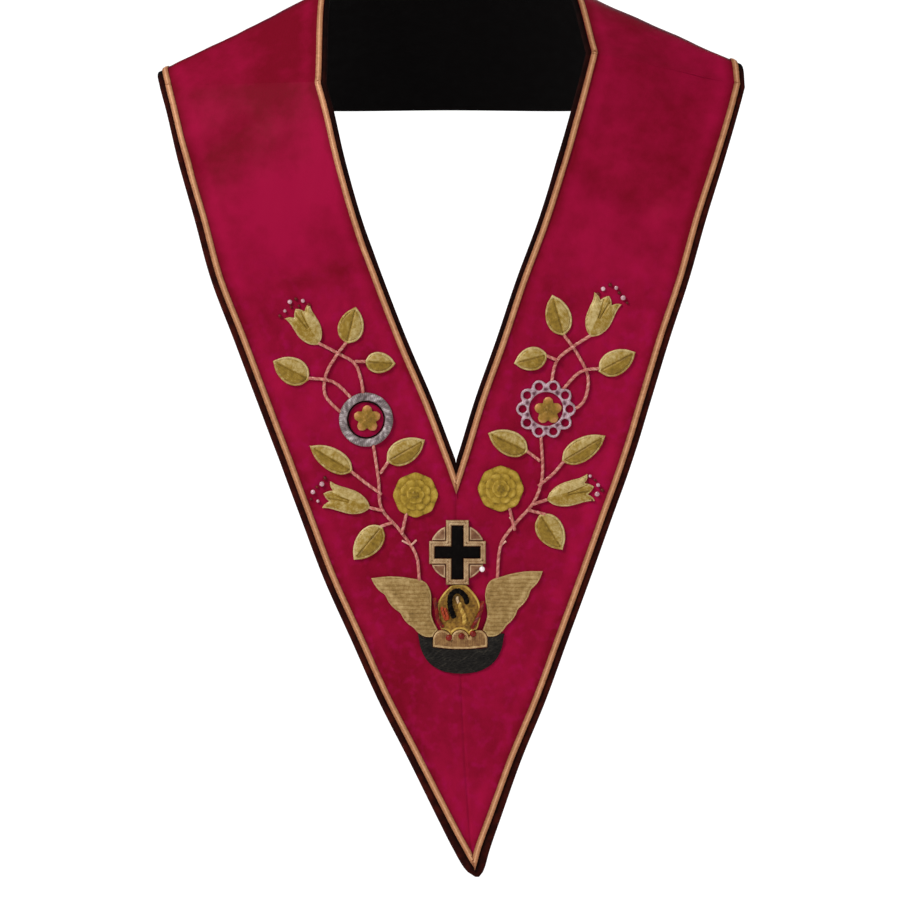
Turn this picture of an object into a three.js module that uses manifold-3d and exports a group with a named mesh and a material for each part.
// An embroidered ribbon collar, in the form that it has on a wearer's shoulders.
// Two lengths of ribbon hang down the front and meet in a point, and a third goes round behind the neck.
// Millimetres, +Z up, the front towards -Y and the viewer's right towards +X.
// The origin is the middle of the ribbon's upper edge behind the neck, where the collar hangs on its wearer.
import * as THREE from 'three';
import { mergeVertices } from 'three/addons/utils/BufferGeometryUtils.js';
import Module from 'manifold-3d';

const wasm = await Module();
wasm.setup();

// The run of the ribbon
const ribbonWidth = 100;
const neckOpening = 159; // between the inner edges at the shoulder seams
const notchDrop = 238; // shoulder seam down to the inner notch
const pointLength = 260; // inner notch down to the point
const tipLean = 16.9; // how far the point hangs to the right
const rightSeamRise = 20; // the right shoulder seam climbs this much towards the neck
const innerSetBack = 20; // how far the seam lies behind the flat front, at the inner edge
const outerSetBack = 50; // and at the outer edge

// Round the neck
const shoulderRise = 9; // the shoulder's crest above the seams, at the outer edge
const rightShoulderRise = 5; // the right shoulder's crest is this much higher still
const napeRise = 76; // the upper edge behind the neck, above the seams
const napeDepth = 126; // the upper edge behind the neck, behind the flat front
const hemDepth = 183; // the lower edge behind the neck, behind the flat front
const hemDrop = 3; // the lower edge behind the neck, below the seams

// Cloth and braid
const liningThick = 1;
const faceThick = 1.2;
const braidThick = 1;
const braidWidth = 4;
const innerBorder = 2.9; // dark edge between the inner braid and the ribbon's edge
const outerBorder = 3.9;
const layerGap = 0.3; // air between two layers
const seamGap = 0.3; // air between two lengths of ribbon that are sewn together
const pieceGap = 0.35; // air between two embroidered pieces side by side

// Embroidery
const leafRise = 2.4;
const budRise = 2.2;
const stemRise = 1.4;
const stemWidth = 2.6;
const ringRise = 2;
const roseRise = 3.2;
const crossRise = 1.6;
const birdRise = 2.2;
const neckCordWidth = 3.6;
const edgeRoll = 0.6; // how far a padded piece's top edge is rounded in

// Sections of the front, from the shoulder seam (down 0) past the notch (down 1) to the point (down 2).
// inner is a share of half the neck opening, and goes on past the centre as the ribbon's hidden line does.
// width is a share of the ribbon's width, out from the inner edge or, below the notch, from the centre seam.
// lean is a share of the point's lean, and border of the outer border.
const frontSections = [
  { down: -0.084, inner: 1.065, width: 1.072, lean: 0.09, border: 1 },
  { down: 0, inner: 1, width: 1.071, lean: 0.09, border: 1 },
  { down: 0.072, inner: 0.941, width: 1.066, lean: 0.09, border: 0.9 },
  { down: 0.206, inner: 0.837, width: 1.055, lean: 0.04, border: 0.9 },
  { down: 0.367, inner: 0.693, width: 1.05, lean: 0.01, border: 1 },
  { down: 0.525, inner: 0.52, width: 1.081, lean: 0, border: 1 },
  { down: 0.682, inner: 0.35, width: 1.084, lean: 0.06, border: 1.05 },
  { down: 0.84, inner: 0.165, width: 1.103, lean: 0.14, border: 1.05 },
  { down: 1, inner: 0, width: 1.103, lean: 0.22, border: 1.05 },
  { down: 1.142, inner: -0.16, width: 0.969, lean: 0.235, border: 1.05 },
  { down: 1.286, inner: -0.32, width: 0.831, lean: 0.26, border: 1.05 },
  { down: 1.43, inner: -0.48, width: 0.678, lean: 0.35, border: 1.05 },
  { down: 1.575, inner: -0.64, width: 0.525, lean: 0.445, border: 1.1 },
  { down: 1.719, inner: -0.8, width: 0.353, lean: 0.555, border: 1.15 },
  { down: 1.863, inner: -0.96, width: 0.194, lean: 0.71, border: 1.3 },
  { down: 1.935, inner: -1.04, width: 0.114, lean: 0.8, border: 1.4 },
  { down: 1.985, inner: -1.095, width: 0.056, lean: 0.92, border: 1.4 },
  { down: 2, inner: -1.11, width: 0.014, lean: 1, border: 1.4 },
];
const flatFrom = 0.525; // the front is flat from this section down
const seamFade = 0.35; // the right seam's slant has faded out at this section

// Sections round the neck, from the crest of the shoulder to the nape.
// The inner edge's shares are of half the neck opening, the nape's depth and the nape's rise.
// The outer edge's are of half the shoulders' width, the hem's depth, the shoulder's rise and the hem's drop.
const neckSections = [
  { innerWide: 0.955, innerBack: 0.62, innerUp: 0.855, wide: 1.002, back: 0.335, up: 1, drop: 0 },
  { innerWide: 0.86, innerBack: 0.8, innerUp: 0.93, wide: 0.93, back: 0.51, up: 0.4, drop: 0.5 },
  { innerWide: 0.65, innerBack: 0.92, innerUp: 0.97, wide: 0.72, back: 0.76, up: 0, drop: 1.8 },
  { innerWide: 0.35, innerBack: 0.985, innerUp: 0.99, wide: 0.42, back: 0.955, up: 0, drop: 1.4 },
  { innerWide: 0, innerBack: 1, innerUp: 1, wide: 0, back: 1, up: 0, drop: 1 },
];

// Soft dents of the arms, each along a line from one place on the ribbon to another.
// Their reach to either side and their depth are shares of the ribbon's width.
const dents = [
  { side: 'right', down: 0.223, across: 0.08, toDown: 0.341, toAcross: 0.62, reach: 0.11, depth: 0.03 },
  { side: 'right', down: 0.06, across: 0.7, toDown: 0.12, toAcross: 0.25, reach: 0.12, depth: 0.02 },
  { side: 'left', down: 0.12, across: 0.5, toDown: 0.2, toAcross: 0.85, reach: 0.1, depth: 0.025 },
  { side: 'left', down: 0.45, across: 0.08, toDown: 0.5, toAcross: 0.55, reach: 0.09, depth: 0.015 },
];

// Leaves, from their root to their tip, both as places on the ribbon. Widths are shares of the ribbon's.
const leaves = [
  { name: 'leaf_left_1', across: 0.358, down: 0.693, tipAcross: 0.22, tipDown: 0.596, width: 0.17 },
  { name: 'leaf_left_2', across: 0.296, down: 0.74, tipAcross: 0.123, tipDown: 0.745, width: 0.14 },
  { name: 'leaf_left_3', across: 0.655, down: 0.787, tipAcross: 0.82, tipDown: 0.738, width: 0.18 },
  { name: 'leaf_left_4', across: 0.599, down: 1.026, tipAcross: 0.796, tipDown: 0.961, width: 0.15 },
  { name: 'leaf_left_5', across: 0.393, down: 1.002, tipAcross: 0.131, tipDown: 0.945, width: 0.165 },
  { name: 'leaf_left_6', across: 0.485, down: 1.156, tipAcross: 0.732, tipDown: 1.238, width: 0.17 },
  { name: 'leaf_right_1', across: 0.382, down: 0.672, tipAcross: 0.237, tipDown: 0.564, width: 0.17 },
  { name: 'leaf_right_2', across: 0.322, down: 0.722, tipAcross: 0.151, tipDown: 0.745, width: 0.155 },
  { name: 'leaf_right_3', across: 0.65, down: 0.766, tipAcross: 0.826, tipDown: 0.715, width: 0.165 },
  { name: 'leaf_right_4', across: 0.391, down: 0.976, tipAcross: 0.132, tipDown: 0.927, width: 0.165 },
  { name: 'leaf_right_5', across: 0.6, down: 1.002, tipAcross: 0.801, tipDown: 0.934, width: 0.155 },
  { name: 'leaf_right_6', across: 0.53, down: 1.128, tipAcross: 0.735, tipDown: 1.214, width: 0.18 },
];

// Buds, from their root to the tip of the middle sepal.
const buds = [
  { name: 'bud_left_upper', across: 0.522, down: 0.696, tipAcross: 0.571, tipDown: 0.601, width: 0.14 },
  { name: 'bud_left_lower', across: 0.538, down: 1.113, tipAcross: 0.806, tipDown: 1.079, width: 0.135 },
  { name: 'bud_right_upper', across: 0.539, down: 0.675, tipAcross: 0.568, tipDown: 0.567, width: 0.145 },
  { name: 'bud_right_lower', across: 0.556, down: 1.094, tipAcross: 0.823, tipDown: 1.062, width: 0.135 },
];

// Round pieces by their centres, with radii as shares of the ribbon's width.
const rounds = {
  ring_left: { across: 0.421, down: 0.892, radius: 0.169, hole: 0.119 },
  ring_right: { across: 0.42, down: 0.864, radius: 0.187, hole: 0.106, loops: 10, loopHole: 0.025 },
  flower_left: { across: 0.413, down: 0.89, radius: 0.085, lobes: 5 },
  flower_right: { across: 0.435, down: 0.869, radius: 0.087, lobes: 5 },
  rose_left: { across: 0.248, down: 1.082, radius: 0.14, lobes: 8 },
  rose_right: { across: 0.267, down: 1.067, radius: 0.144, lobes: 8 },
};

// Stems of the four branches, each a few places that its curve runs through, as [across, down].
const branches = {
  branch_left_upper: [
    [[0.522, 0.69], [0.427, 0.719], [0.358, 0.745], [0.36, 0.787], [0.39, 0.84]],
    [[0.358, 0.69], [0.451, 0.727], [0.548, 0.774], [0.598, 0.827], [0.54, 0.88]],
    [[0.67, 0.782], [0.524, 0.793], [0.45, 0.84]],
    [[0.35, 0.739], [0.28, 0.74]],
  ],
  branch_left_lower: [
    [[0.425, 0.94], [0.457, 1.046], [0.469, 1.113], [0.372, 1.168], [0.285, 1.226], [0.283, 1.29]],
    [[0.605, 1.026], [0.537, 1.053], [0.455, 1.08]],
    [[0.38, 1], [0.44, 1.03]],
    [[0.315, 1.125], [0.365, 1.176]],
    [[0.55, 1.112], [0.46, 1.12]],
    [[0.5, 1.158], [0.415, 1.148]],
  ],
  branch_right_upper: [
    [[0.382, 0.67], [0.5, 0.722], [0.601, 0.782], [0.618, 0.845], [0.56, 0.872]],
    [[0.539, 0.67], [0.451, 0.703], [0.391, 0.738], [0.41, 0.815]],
    [[0.67, 0.757], [0.55, 0.766], [0.47, 0.82]],
    [[0.31, 0.722], [0.395, 0.737]],
  ],
  branch_right_lower: [
    [[0.425, 0.92], [0.504, 1.046], [0.474, 1.103], [0.392, 1.146], [0.314, 1.19], [0.297, 1.219], [0.304, 1.29]],
    [[0.61, 1.002], [0.567, 1.029], [0.49, 1.06]],
    [[0.375, 0.972], [0.475, 1]],
    [[0.325, 1.105], [0.385, 1.166]],
    [[0.57, 1.092], [0.47, 1.105]],
    [[0.58, 1.13], [0.45, 1.118]],
  ],
};

// The cross and the bird, placed on the centre seam
const crossPlace = { across: 0.006, down: 1.22 };
const crossHeight = 33;
const crossSpan = 28;
const crossBar = 6.9;
const crossEdging = 3.7; // the gold round the cross
const crossBase = 0.6; // thickness of the padding under the cross
const centreRoseRadius = 18;
const birdPlace = { across: 0.006, down: 1.358 };
const bodyHeight = 37.5;
const bodyWidth = 27.5;
const wingSpan = 38;
const wingHeight = 37;
const wingGap = 16.8; // from the bird's middle line to the root of a wing
const wingLift = 2.4; // how far the wings are set above the bird's middle
const featherCurl = 0.16; // how far a feather's tip swells out, as a share of its length
const rightWingTurn = 0.12; // the right wing is a little higher at its tip
const nestPlace = { across: 0.018, down: 1.415 };
const nestWidth = 54;
const nestDepth = 25;
const chicksPlace = { across: 0.004, down: 1.447 };
const chicksWidth = 33.8;
const chicksHeight = 10.6;

// A wing's outline from the tip along the upper edge to the root, as shares of its span and height
const wingTopEdge = [
  { along: -1, up: 0.47 },
  { along: -0.69, up: 0.5 },
  { along: -0.36, up: 0.47 },
  { along: -0.11, up: 0.4 },
  { along: -0.02, up: 0.23 },
  { along: 0, up: -0.18 },
  { along: 0.13, up: -0.48 },
];
// and back along the tips of the feathers
const wingFeathers = [
  { along: -0.11, up: -0.52 },
  { along: -0.3, up: -0.37 },
  { along: -0.52, up: -0.12 },
  { along: -0.77, up: 0.18 },
  { along: -1, up: 0.47 },
];

// The bird's neck and head, bent down to its breast, as shares of the body's width and height
const neckBend = [
  { along: -0.14, up: -0.12 },
  { along: -0.23, up: 0.17 },
  { along: -0.09, up: 0.31 },
  { along: 0.07, up: 0.3 },
  { along: 0.18, up: 0.12 },
];

const materials = {
  satin: new THREE.MeshStandardMaterial({ color: 0x8e1230, roughness: 0.45, metalness: 0 }),
  lining: new THREE.MeshStandardMaterial({ color: 0x0c0a0a, roughness: 0.8, metalness: 0 }),
  braid: new THREE.MeshStandardMaterial({ color: 0xc08a5a, roughness: 0.4, metalness: 0.6 }),
  bullion: new THREE.MeshStandardMaterial({ color: 0x9a7c36, roughness: 0.45, metalness: 0.6 }),
  silver: new THREE.MeshStandardMaterial({ color: 0xb8a0a0, roughness: 0.4, metalness: 0.6 }),
  silk: new THREE.MeshStandardMaterial({ color: 0xb4646c, roughness: 0.5, metalness: 0 }),
  velvet: new THREE.MeshStandardMaterial({ color: 0x14100e, roughness: 0.9, metalness: 0 }),
  nest: new THREE.MeshStandardMaterial({ color: 0x2a2721, roughness: 0.8, metalness: 0 }),
};

const sides = {
  left: { name: 'left', sign: -1, seamRise: 0, crestRise: shoulderRise },
  right: { name: 'right', sign: 1, seamRise: rightSeamRise, crestRise: shoulderRise + rightShoulderRise },
};

// A column of a table as a smooth curve through its rows.
function columnCurve(rows, column) {
  const slope = (i) => {
    const before = rows[Math.max(i - 1, 0)];
    const after = rows[Math.min(i + 1, rows.length - 1)];
    return (after[column] - before[column]) / (after.down - before.down);
  };
  return (down) => {
    let i = 0;
    while (i < rows.length - 2 && rows[i + 1].down < down) i++;
    const span = rows[i + 1].down - rows[i].down;
    const t = (down - rows[i].down) / span;
    const rise = rows[i + 1][column] - rows[i][column];
    const bend = (slope(i) * span - rise) * (1 - t) + (rise - slope(i + 1) * span) * t;
    return rows[i][column] + rise * t + t * (1 - t) * bend;
  };
}
const innerShare = columnCurve(frontSections, 'inner');
const leanShare = columnCurve(frontSections, 'lean');
const borderShare = columnCurve(frontSections, 'border');

// The outer edge is its own smooth curve, so that it doesn't feel the corner of the notch.
const innerHalf = (down) => (neckOpening / 2) * innerShare(down);
const outerRows = frontSections.map((row) => ({
  down: row.down,
  outer: Math.max((neckOpening / 2) * row.inner, 0) + ribbonWidth * row.width,
}));
const outerHalf = columnCurve(outerRows, 'outer');
const centreAt = (down) => tipLean * leanShare(down);
const heightAt = (down) => (down <= 1 ? -notchDrop * down : -notchDrop - pointLength * (down - 1));
const bendShare = (down) => Math.max(0, 1 - down / flatFrom) ** 2;

// How far a place on the front is pushed in by the dents
function dentAt(side, down, across) {
  const here = new THREE.Vector2(across * ribbonWidth, down * notchDrop);
  let depth = 0;
  for (const dent of dents) {
    if (dent.side !== side.name) continue;
    const nearest = new THREE.Vector2(dent.across * ribbonWidth, dent.down * notchDrop);
    const run = new THREE.Vector2(dent.toAcross * ribbonWidth, dent.toDown * notchDrop).sub(nearest);
    const t = THREE.MathUtils.clamp(here.clone().sub(nearest).dot(run) / run.lengthSq(), 0, 1);
    nearest.addScaledVector(run, t);
    const fromLine = here.distanceTo(nearest) / (dent.reach * ribbonWidth);
    depth += dent.depth * ribbonWidth * Math.exp(-(fromLine ** 2));
  }
  return depth;
}

// A place on the front of the lining: across is 0 at the ribbon's inner edge and 1 at its outer edge.
function frontPlace(side, down, across) {
  const slant = Math.max(0, 1 - down / seamFade) ** 2;
  const innerDown = down - (side.seamRise / notchDrop) * slant;
  const edgePlace = (at, half, setBack) =>
    new THREE.Vector3(side.sign * half(at) + centreAt(at), setBack * bendShare(at), heightAt(at));
  const inner = edgePlace(innerDown, innerHalf, innerSetBack);
  const outer = edgePlace(down, outerHalf, outerSetBack);
  const place = inner.lerp(outer, across);
  place.y += down < flatFrom ? dentAt(side, down, across) : 0;
  return place;
}

// The two edges round the neck run on from the seams, through the sections and on to their mirror image.
const innerNeckPlace = (side, row) =>
  new THREE.Vector3(
    (side.sign * neckOpening * row.innerWide) / 2,
    napeDepth * row.innerBack,
    napeRise * row.innerUp,
  );
const outerNeckPlace = (side, row) =>
  new THREE.Vector3(
    side.sign * outerHalf(0) * row.wide,
    hemDepth * row.back,
    side.crestRise * row.up - hemDrop * row.drop,
  );
function neckEdge(side, seamPlace, neckPlace) {
  const places = neckSections.map((row) => neckPlace(side, row));
  const past = places.slice(0, -1).reverse();
  const mirrored = past.map((place) => new THREE.Vector3(-place.x, place.y, place.z));
  return new THREE.CatmullRomCurve3([seamPlace, ...places, ...mirrored]);
}
for (const side of Object.values(sides)) {
  side.inner = neckEdge(side, frontPlace(side, 0, 0), innerNeckPlace);
  side.outer = neckEdge(side, frontPlace(side, 0, 1), outerNeckPlace);
}

// A place on the lining's face anywhere along the ribbon: down is -1 at the nape and 2 at the point.
const neckSpans = 2 * neckSections.length - 1;
function ribbonPlace(side, down, across) {
  if (down >= 0) return frontPlace(side, down, across);
  const t = (-down * neckSections.length) / neckSpans;
  return side.inner.getPoint(t).lerp(side.outer.getPoint(t), across);
}

const smallStep = 0.004;
const alongRibbon = (side, down, across) =>
  ribbonPlace(side, down + smallStep, across)
    .sub(ribbonPlace(side, down - smallStep, across))
    .normalize();
const acrossRibbon = (side, down, across) =>
  ribbonPlace(side, down, across + smallStep)
    .sub(ribbonPlace(side, down, across - smallStep))
    .normalize();

// A place on one of the ribbon's layers, a distance out from the lining's face
function layerPlace(side, down, across, out) {
  const outward = alongRibbon(side, down, across)
    .cross(acrossRibbon(side, down, across))
    .normalize();
  return ribbonPlace(side, down, across).addScaledVector(outward, side.sign * out);
}

// Boundaries on the ribbon, as shares across it. The centre seam cuts them off where they would pass it.
function centreShare(side, down) {
  if (down < flatFrom) return 0;
  const inner = innerHalf(down);
  return (seamGap / 2 - inner) / (outerHalf(down) - inner);
}
const upToSeam = (boundary) => (side, down) =>
  Math.max(boundary(side, down), centreShare(side, down));

function insetShare(side, down, edge, distance) {
  const whole = ribbonPlace(side, down, 1).sub(ribbonPlace(side, down, 0));
  return distance / whole.cross(alongRibbon(side, down, edge)).length();
}
const outerBorderAt = (down) => outerBorder * borderShare(Math.max(down, 0));
const innerEdge = () => 0;
const innerBraidEdge = (side, down) => insetShare(side, down, 0, innerBorder);
const innerBraidEnd = (side, down) => insetShare(side, down, 0, innerBorder + braidWidth);
const outerBraidEnd = (side, down) => 1 - insetShare(side, down, 1, outerBorderAt(down) + braidWidth);
const outerBraidEdge = (side, down) => 1 - insetShare(side, down, 1, outerBorderAt(down));
const outerEdge = () => 1;

const middleColumns = [0.2, 0.4, 0.6, 0.8].map((share) => (side, down) => {
  const from = upToSeam(innerBraidEnd)(side, down);
  return THREE.MathUtils.lerp(from, upToSeam(outerBraidEnd)(side, down), share);
});
const faceColumns = [innerBraidEdge, innerBraidEnd, ...middleColumns, outerBraidEnd, outerBraidEdge];
const liningColumns = [innerEdge, ...faceColumns, outerEdge];

// The section where a boundary meets the centre seam, looked for between two sections
function meeting(side, boundary, above, below) {
  for (let step = 0; step < 40; step++) {
    const middle = (above + below) / 2;
    if (boundary(side, middle) > centreShare(side, middle)) above = middle;
    else below = middle;
  }
  return (above + below) / 2;
}
const notchOf = (side, boundary) => meeting(side, boundary, 0.8, 1.5);
const pointOf = (side, boundary) => meeting(side, boundary, 1.5, 2);

// A closed sheet between two grids of places that match, whichever way round they run.
function closedSheet(front, back) {
  const rows = front.length;
  const columns = front[0].length;
  const places = [...front.flat(), ...back.flat()];
  const at = (layer, row, column) => (layer * rows + row) * columns + column;
  const faces = [];
  const quad = (a, b, c, d) => faces.push([a, b, c], [a, c, d]);
  for (let r = 0; r < rows - 1; r++) {
    for (let c = 0; c < columns - 1; c++) {
      quad(at(0, r, c), at(0, r + 1, c), at(0, r + 1, c + 1), at(0, r, c + 1));
      faces.push([at(1, r, c), at(1, r + 1, c + 1), at(1, r + 1, c)]);
      faces.push([at(1, r, c), at(1, r, c + 1), at(1, r + 1, c + 1)]);
    }
    quad(at(0, r, 0), at(1, r, 0), at(1, r + 1, 0), at(0, r + 1, 0));
    quad(at(0, r, columns - 1), at(0, r + 1, columns - 1), at(1, r + 1, columns - 1), at(1, r, columns - 1));
  }
  for (let c = 0; c < columns - 1; c++) {
    quad(at(0, 0, c), at(0, 0, c + 1), at(1, 0, c + 1), at(1, 0, c));
    quad(at(0, rows - 1, c), at(1, rows - 1, c), at(1, rows - 1, c + 1), at(0, rows - 1, c + 1));
  }
  const sheet = new THREE.BufferGeometry().setFromPoints(places);
  sheet.setIndex(faces.flat());
  return outwardFacing(withoutSlivers(mergeVertices(sheet, 1e-4)));
}

// Faces that have closed up to a line are left out.
function withoutSlivers(geometry) {
  const index = geometry.index.array;
  const kept = [];
  for (let i = 0; i < index.length; i += 3) {
    const [a, b, c] = index.subarray(i, i + 3);
    if (a !== b && b !== c && c !== a) kept.push(a, b, c);
  }
  geometry.setIndex(kept);
  return geometry;
}

function outwardFacing(geometry) {
  const place = new THREE.Vector3();
  const corner = (i) => place.clone().fromBufferAttribute(geometry.attributes.position, index[i]);
  const index = geometry.index.array;
  let volume = 0;
  for (let i = 0; i < index.length; i += 3)
    volume += corner(i).dot(corner(i + 1).cross(corner(i + 2)));
  if (volume < 0)
    for (let i = 0; i < index.length; i += 3) [index[i + 1], index[i + 2]] = [index[i + 2], index[i + 1]];
  return geometry;
}

const liningLayer = { low: -liningThick, high: 0 };
const faceLayer = { low: layerGap, high: layerGap + faceThick };
const braidLow = faceLayer.high + layerGap;
const braidLayer = { low: braidLow, high: braidLow + braidThick };

const collar = new THREE.Group();
collar.position.set(0, -napeDepth, -napeRise);

function addPiece(group, name, geometry, material) {
  const mesh = new THREE.Mesh(geometry, material);
  mesh.name = name;
  group.add(mesh);
  return mesh;
}

// A length of one layer: stations are pairs of a side and a section.
function layerStrip(stations, columns, layer) {
  const grid = (out) =>
    stations.map(({ side, down }) =>
      columns.map((column) => layerPlace(side, down, upToSeam(column)(side, down), out)),
    );
  return closedSheet(grid(layer.high), grid(layer.low));
}

// The sections of an arm, closer together where it is curved
const curvedSteps = 11;
const flatSteps = [0.66, 0.8, 0.92, 1.14, 1.35, 1.55, 1.72, 1.86, 1.935, 1.985];
const markRoom = 0.004; // no section lies this close to a mitre's own section
const shoulderGap = seamGap / 2 / notchDrop;
function armStations(side, marks, end) {
  const downs = [shoulderGap, ...marks, end];
  for (let i = 1; i <= curvedSteps; i++) downs.push((flatFrom * i) / curvedSteps);
  const awayFromMarks = (step) => marks.every((mark) => Math.abs(mark - step) > markRoom);
  downs.push(...flatSteps.filter(awayFromMarks));
  return downs
    .filter((down) => down <= end)
    .sort((a, b) => a - b)
    .map((down) => ({ side, down }));
}

for (const side of Object.values(sides)) {
  const lining = armStations(side, [notchOf(side, innerEdge)], 2);
  const face = armStations(side, [notchOf(side, innerBraidEdge)], pointOf(side, outerBraidEdge));
  const innerNotch = notchOf(side, innerBraidEdge);
  const innerBraid = armStations(side, [innerNotch], notchOf(side, innerBraidEnd));
  const outerMitre = pointOf(side, outerBraidEnd);
  const outerBraid = armStations(side, [outerMitre], pointOf(side, outerBraidEdge));
  const innerBraidColumns = [innerBraidEdge, innerBraidEnd];
  const outerBraidColumns = [outerBraidEnd, outerBraidEdge];
  const add = (name, stations, columns, layer, material) =>
    addPiece(collar, name + '_' + side.name, layerStrip(stations, columns, layer), material);
  add('lining', lining, liningColumns, liningLayer, materials.lining);
  add('face', face, faceColumns, faceLayer, materials.satin);
  add('braid_inner', innerBraid, innerBraidColumns, braidLayer, materials.braid);
  add('braid_outer', outerBraid, outerBraidColumns, braidLayer, materials.braid);
}

// Round the neck the three layers run from one shoulder seam to the other in one length.
const neckSteps = 10;
const neckDowns = [-shoulderGap];
for (let i = 1; i <= neckSteps; i++) neckDowns.push(-i / neckSteps);
const neckStations = [
  ...neckDowns.map((down) => ({ side: sides.left, down })),
  ...neckDowns.slice(0, -1).reverse().map((down) => ({ side: sides.right, down })),
];
const neckPieces = [
  { name: 'lining_neck', columns: liningColumns, layer: liningLayer, material: materials.lining },
  { name: 'face_neck', columns: faceColumns, layer: faceLayer, material: materials.satin },
  {
    name: 'braid_inner_neck',
    columns: [innerBraidEdge, innerBraidEnd],
    layer: braidLayer,
    material: materials.braid,
  },
  {
    name: 'braid_outer_neck',
    columns: [outerBraidEnd, outerBraidEdge],
    layer: braidLayer,
    material: materials.braid,
  },
];
for (const piece of neckPieces)
  addPiece(collar, piece.name, layerStrip(neckStations, piece.columns, piece.layer), piece.material);

// The embroidery lies on the flat of the front: its own x and y are across and up,
// and its z is towards the viewer.
const embroidery = new THREE.Group();
embroidery.rotation.x = Math.PI / 2;
collar.add(embroidery);
const sewnLevel = braidLow;

const bySide = (name) => (name.includes('left') ? sides.left : sides.right);
function spot(side, { across, down }) {
  const half = THREE.MathUtils.lerp(Math.max(innerHalf(down), 0), outerHalf(down), across);
  return new THREE.Vector2(side.sign * half + centreAt(down), heightAt(down));
}

// A padded piece with its top edge rolled in
function padded(shape, rise, curveSegments = 4, roll = edgeRoll) {
  const geometry = new THREE.ExtrudeGeometry(shape, {
    depth: rise - 2 * roll,
    bevelThickness: roll,
    bevelSize: roll,
    bevelOffset: -roll,
    bevelSegments: 1,
    curveSegments,
  });
  return geometry.translate(0, 0, roll);
}
const flat = (shape, rise, curveSegments = 4) =>
  new THREE.ExtrudeGeometry(shape, { depth: rise, bevelEnabled: false, curveSegments });

// A closed mesh as a solid that can be cut, and back
function solidOf(geometry, matrix = new THREE.Matrix4()) {
  const bare = new THREE.BufferGeometry();
  bare.setAttribute('position', geometry.getAttribute('position').clone());
  if (geometry.index) bare.setIndex(geometry.index.clone());
  const merged = withoutSlivers(mergeVertices(bare.applyMatrix4(matrix), 1e-4));
  return new wasm.Manifold(
    new wasm.Mesh({
      numProp: 3,
      vertProperties: new Float32Array(merged.attributes.position.array),
      triVerts: new Uint32Array(merged.index.array),
    }),
  );
}
function geometryOf(solid) {
  const { vertProperties, triVerts } = solid.getMesh();
  const geometry = new THREE.BufferGeometry();
  geometry.setAttribute('position', new THREE.BufferAttribute(vertProperties, 3));
  return geometry.setIndex(new THREE.BufferAttribute(triVerts, 1));
}

// The room that a sewn piece keeps to itself, as a solid wider all round by the air between pieces
const roomHeight = 20;
const rooms = {};
function keepRoom(name, shape, mesh) {
  const wider = new THREE.ExtrudeGeometry(shape, {
    depth: roomHeight,
    bevelThickness: pieceGap,
    bevelSize: pieceGap,
    bevelSegments: 1,
    curveSegments: 6,
  });
  mesh.updateMatrix();
  rooms[name] = solidOf(wider.translate(0, 0, -roomHeight / 2), mesh.matrix);
}
function clearOf(solid, names) {
  return names.reduce((cut, name) => cut.subtract(rooms[name]), solid);
}

// A sewn piece at its place and turn, on the cloth or on a piece below it
function sew(name, shape, geometry, material, place, turn = 0, lift = 0) {
  const mesh = addPiece(embroidery, name, geometry, material);
  mesh.position.set(place.x, place.y, sewnLevel + lift);
  mesh.rotation.z = turn;
  keepRoom(name, shape, mesh);
  return mesh;
}
// A sewn piece that makes room for the pieces named
function sewClear(name, shape, geometry, material, place, turn, names) {
  const mesh = sew(name, shape, geometry, material, place, turn);
  const cut = clearOf(solidOf(geometry, mesh.matrix), names);
  mesh.geometry = geometryOf(cut);
  mesh.position.set(0, 0, 0);
  mesh.rotation.z = 0;
}

// A leaf with its root at the origin and its tip straight up
function leafShape(length, width) {
  const shape = new THREE.Shape();
  shape.moveTo(0, 0);
  shape.bezierCurveTo(0.7 * width, 0.16 * length, 0.56 * width, 0.74 * length, 0, length);
  shape.bezierCurveTo(-0.56 * width, 0.74 * length, -0.7 * width, 0.16 * length, 0, 0);
  return shape;
}

// A bud: a swelling calyx that splits into three pointed sepals
function budShape(length, width) {
  const half = width / 2;
  const shape = new THREE.Shape();
  shape.moveTo(0, 0);
  shape.bezierCurveTo(0.6 * half, 0.05 * length, 1.3 * half, 0.3 * length, 1.14 * half, 0.62 * length);
  shape.quadraticCurveTo(1.08 * half, 0.8 * length, 1.3 * half, 0.94 * length);
  shape.quadraticCurveTo(0.8 * half, 0.93 * length, 0.54 * half, 0.83 * length);
  shape.quadraticCurveTo(0.4 * half, 0.93 * length, 0, length);
  shape.quadraticCurveTo(-0.4 * half, 0.93 * length, -0.54 * half, 0.83 * length);
  shape.quadraticCurveTo(-0.8 * half, 0.93 * length, -1.3 * half, 0.94 * length);
  shape.quadraticCurveTo(-1.08 * half, 0.8 * length, -1.14 * half, 0.62 * length);
  shape.bezierCurveTo(-1.3 * half, 0.3 * length, -0.6 * half, 0.05 * length, 0, 0);
  return shape;
}

function sewGrowth(row, shapeOf, rise, curveSegments, material) {
  const side = bySide(row.name);
  const root = spot(side, row);
  const run = spot(side, { across: row.tipAcross, down: row.tipDown }).sub(root);
  const shape = shapeOf(run.length(), row.width * ribbonWidth);
  const turn = run.angle() - Math.PI / 2;
  sew(row.name, shape, padded(shape, rise, curveSegments), material, root, turn);
}
for (const row of leaves) sewGrowth(row, leafShape, leafRise, 5, materials.bullion);
for (const row of buds) sewGrowth(row, budShape, budRise, 3, materials.bullion);

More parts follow.
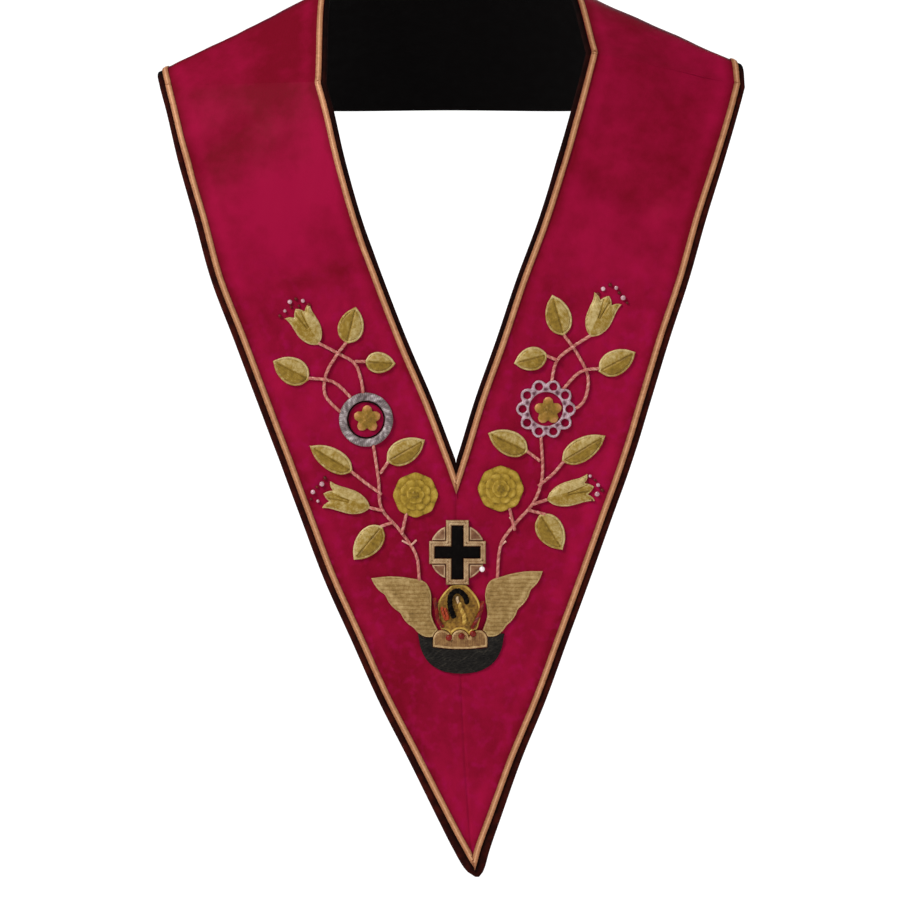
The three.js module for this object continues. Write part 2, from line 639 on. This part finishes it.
// A round outline with lobes; a depth of nothing makes it a plain circle.
function lobedShape(radius, lobes, depth, steps, turn = 0) {
  const places = [];
  for (let i = 0; i < lobes * steps; i++) {
    const angle = (i / (lobes * steps)) * 2 * Math.PI;
    const dip = depth * (1 - Math.abs(Math.cos((lobes * angle) / 2)));
    const reach = radius * (1 - dip);
    places.push(new THREE.Vector2(reach * Math.cos(angle + turn), reach * Math.sin(angle + turn)));
  }
  return new THREE.Shape(places);
}

const ringSides = 18;
const loopSides = 7;
const lobeSteps = 4; // points to each lobe of a laced rim or a flower
const rimDip = 0.16; // how far a laced rim draws in between its loops
const loopReach = 0.5; // the loops' centres, from the ring's hole to its rim
const threadRoll = 0.28; // how far a ring's edge is rolled, as a share of its thinnest thread
for (const name of ['ring_left', 'ring_right']) {
  const { radius, hole, loops = 0, loopHole = 0, ...place } = rounds[name];
  const outer = radius * ribbonWidth;
  const inner = hole * ribbonWidth;
  const shape = loops ? lobedShape(outer, loops, rimDip, lobeSteps) : lobedShape(outer, ringSides, 0, 1);
  const room = new THREE.Shape(shape.getPoints());
  shape.holes.push(lobedShape(inner, ringSides, 0, 1));
  const reach = inner + (outer - inner) * loopReach;
  for (let i = 0; i < loops; i++) {
    const angle = (i / loops) * 2 * Math.PI;
    const middle = new THREE.Vector2(reach * Math.cos(angle), reach * Math.sin(angle));
    const loop = lobedShape(loopHole * ribbonWidth, loopSides, 0, 1).getPoints();
    shape.holes.push(new THREE.Path(loop.map((place) => place.add(middle))));
  }
  const thread = (outer - inner) / 2 - loopHole * ribbonWidth;
  const ring = padded(shape, ringRise, 2, threadRoll * thread);
  sew(name, room, ring, materials.silver, spot(bySide(name), place));
}

const petalDip = 0.34;
for (const name of ['flower_left', 'flower_right']) {
  const { radius, lobes, ...place } = rounds[name];
  const shape = lobedShape(radius * ribbonWidth, lobes, petalDip, lobeSteps, Math.PI / 2);
  sew(name, shape, padded(shape, ringRise), materials.bullion, spot(bySide(name), place));
}

// A full rose is built up of three whorls of petals, each smaller and higher than the one below.
const roseDip = 0.08;
const roseSteps = 3; // points to each petal of a rose
const whorls = [
  { radius: 1, rise: 0.5, turn: 0 },
  { radius: 0.68, rise: 0.78, turn: 0.4 },
  { radius: 0.36, rise: 1, turn: 0.1 },
];
for (const name of ['rose_left', 'rose_right']) {
  const { radius, lobes, ...place } = rounds[name];
  const whorlShape = (whorl) =>
    lobedShape(radius * ribbonWidth * whorl.radius, lobes, roseDip, roseSteps, whorl.turn);
  const solids = whorls.map((whorl) => solidOf(flat(whorlShape(whorl), roseRise * whorl.rise)));
  const rose = solids.reduce((joined, solid) => joined.add(solid));
  sew(name, whorlShape(whorls[0]), geometryOf(rose), materials.bullion, spot(bySide(name), place));
}

// The cross, bar by bar round its outline
function crossShape(span, height, bar) {
  const x = span / 2;
  const y = height / 2;
  const b = bar / 2;
  const shape = new THREE.Shape();
  shape.moveTo(b, y);
  shape.lineTo(-b, y);
  shape.lineTo(-b, b);
  shape.lineTo(-x, b);
  shape.lineTo(-x, -b);
  shape.lineTo(-b, -b);
  shape.lineTo(-b, -y);
  shape.lineTo(b, -y);
  shape.lineTo(b, -b);
  shape.lineTo(x, -b);
  shape.lineTo(x, b);
  shape.lineTo(b, b);
  return shape;
}
const crossAt = spot(sides.right, crossPlace);
const edged = (extra) => crossShape(crossSpan + extra, crossHeight + extra, crossBar + extra);
const blackCross = edged(0);
const borderShape = edged(2 * crossEdging);
const seated = crossBase + layerGap;

// The rose behind the cross has a low base under the cross and four full petals in its corners.
const centreRoseDip = 0.04;
const centreRoseSteps = 6; // points to each of its four petals
const centreRose = lobedShape(centreRoseRadius, 4, centreRoseDip, centreRoseSteps, Math.PI / 4);
const petals = solidOf(flat(centreRose, seated + crossRise)).subtract(
  solidOf(flat(edged(2 * (crossEdging + pieceGap)), roomHeight).translate(0, 0, crossBase)),
);
const roseBase = petals.add(solidOf(flat(borderShape, crossBase)));
sew('centre_rose', centreRose, geometryOf(roseBase), materials.bullion, crossAt);
const borderRoom = new THREE.Shape(borderShape.getPoints());
borderShape.holes.push(edged(2 * pieceGap));
sew('cross_border', borderRoom, flat(borderShape, crossRise), materials.braid, crossAt, 0, seated);
sew('cross', blackCross, flat(blackCross, crossRise), materials.velvet, crossAt, 0, seated);

// The chicks' heads stand in a row in front of the nest.
const cheekAngle = 0.12; // the round of a head starts this far above its middle
function chicksShape() {
  const shape = new THREE.Shape();
  const half = chicksWidth / 2;
  const head = chicksWidth / 6;
  const shoulder = chicksHeight - head;
  shape.moveTo(-half, 0);
  shape.quadraticCurveTo(0, -0.25 * chicksHeight, half, 0);
  for (let i = 2; i >= 0; i--) {
    const middle = (2 * i + 1) * head - half;
    shape.absarc(middle, shoulder, head, cheekAngle, Math.PI - cheekAngle, false);
  }
  return shape;
}
const chicks = chicksShape();
sew('chicks', chicks, padded(chicks, birdRise, 3), materials.braid, spot(sides.right, chicksPlace));

// The bird's breast comes to a point at the top.
const birdAt = spot(sides.right, birdPlace);
function bodyShape() {
  const x = bodyWidth / 2;
  const y = bodyHeight / 2;
  const shape = new THREE.Shape();
  shape.moveTo(0, y);
  shape.bezierCurveTo(-0.6 * x, 0.7 * y, -1.1 * x, 0.3 * y, -x, -0.1 * y);
  shape.bezierCurveTo(-0.95 * x, -0.6 * y, -0.6 * x, -0.9 * y, -0.5 * x, -y);
  shape.lineTo(0.5 * x, -y);
  shape.bezierCurveTo(0.6 * x, -0.9 * y, 0.95 * x, -0.6 * y, x, -0.1 * y);
  shape.bezierCurveTo(1.1 * x, 0.3 * y, 0.6 * x, 0.7 * y, 0, y);
  return shape;
}
const body = bodyShape();
const overBody = ['chicks', 'centre_rose', 'cross_border'];
sewClear('pelican_body', body, padded(body, birdRise, 4), materials.bullion, birdAt, 0, overBody);

// A narrow strip along a smooth curve through a few places
function stripShape(places, width, steps) {
  const curve = new THREE.SplineCurve(places);
  const edge = (sign) => {
    const line = [];
    for (let i = 0; i <= steps; i++) {
      const tangent = curve.getTangent(i / steps);
      const beside = new THREE.Vector2(-tangent.y, tangent.x).multiplyScalar((sign * width) / 2);
      line.push(curve.getPoint(i / steps).add(beside));
    }
    return line;
  };
  return new THREE.Shape([...edge(-1), ...edge(1).reverse()]);
}
const neckPlaces = neckBend.map((row) => new THREE.Vector2(row.along * bodyWidth, row.up * bodyHeight));
const neckShape = stripShape(neckPlaces, neckCordWidth, 12);
const neckLift = birdRise + layerGap;
sew('pelican_neck', neckShape, flat(neckShape, stemRise), materials.velvet, birdAt, 0, neckLift);

// A wing for the left side; the right one is its mirror image.
function wingShape(sign) {
  const at = (row) => new THREE.Vector2(sign * -row.along * wingSpan, row.up * wingHeight);
  const shape = new THREE.Shape();
  const [tip, ...upper] = wingTopEdge.map(at);
  const feathers = wingFeathers.map(at);
  shape.moveTo(tip.x, tip.y);
  for (const place of upper) shape.lineTo(place.x, place.y);
  let from = upper.at(-1);
  for (const place of feathers) {
    const middle = from.clone().lerp(place, 0.5);
    const out = new THREE.Vector2(from.y - place.y, place.x - from.x).multiplyScalar(sign * featherCurl);
    middle.sub(out);
    shape.quadraticCurveTo(middle.x, middle.y, place.x, place.y);
    from = place;
  }
  return shape;
}
for (const side of Object.values(sides)) {
  const shape = wingShape(side.sign);
  const place = birdAt.clone().add(new THREE.Vector2(side.sign * wingGap, wingLift));
  const turn = side.sign > 0 ? rightWingTurn : 0;
  const clear = ['pelican_body', 'chicks', 'centre_rose'];
  const name = 'wing_' + side.name;
  sewClear(name, shape, padded(shape, birdRise, 3), materials.bullion, place, turn, clear);
}

// The nest is a bowl of twigs under the bird.
function nestShape() {
  const half = nestWidth / 2;
  const shape = new THREE.Shape();
  shape.moveTo(-half, 0);
  shape.bezierCurveTo(-0.95 * half, -0.6 * nestDepth, -0.7 * half, -nestDepth, 0, -nestDepth);
  shape.bezierCurveTo(0.7 * half, -nestDepth, 0.95 * half, -0.6 * nestDepth, half, 0);
  return shape;
}
const nest = nestShape();
const aboveNest = ['chicks', 'wing_left', 'wing_right', 'pelican_body'];
const nestAt = spot(sides.right, nestPlace);
sewClear('nest', nest, padded(nest, birdRise, 4), materials.nest, nestAt, 0, aboveNest);

// Each branch is its stems joined, with room left for all that it passes or ends at.
const stemSteps = 7;
for (const [name, stems] of Object.entries(branches)) {
  const side = bySide(name);
  const near = Object.keys(rooms).filter((other) => !other.startsWith('flower'));
  const solids = stems.map((stem) => {
    const places = stem.map(([across, down]) => spot(side, { across, down }));
    const steps = stem.length > 2 ? stemSteps : 1;
    return solidOf(flat(stripShape(places, stemWidth, steps), stemRise));
  });
  const joined = solids.reduce((whole, solid) => whole.add(solid)).translate([0, 0, sewnLevel]);
  addPiece(embroidery, name, geometryOf(clearOf(joined, near)), materials.silk);
}

export default collar;
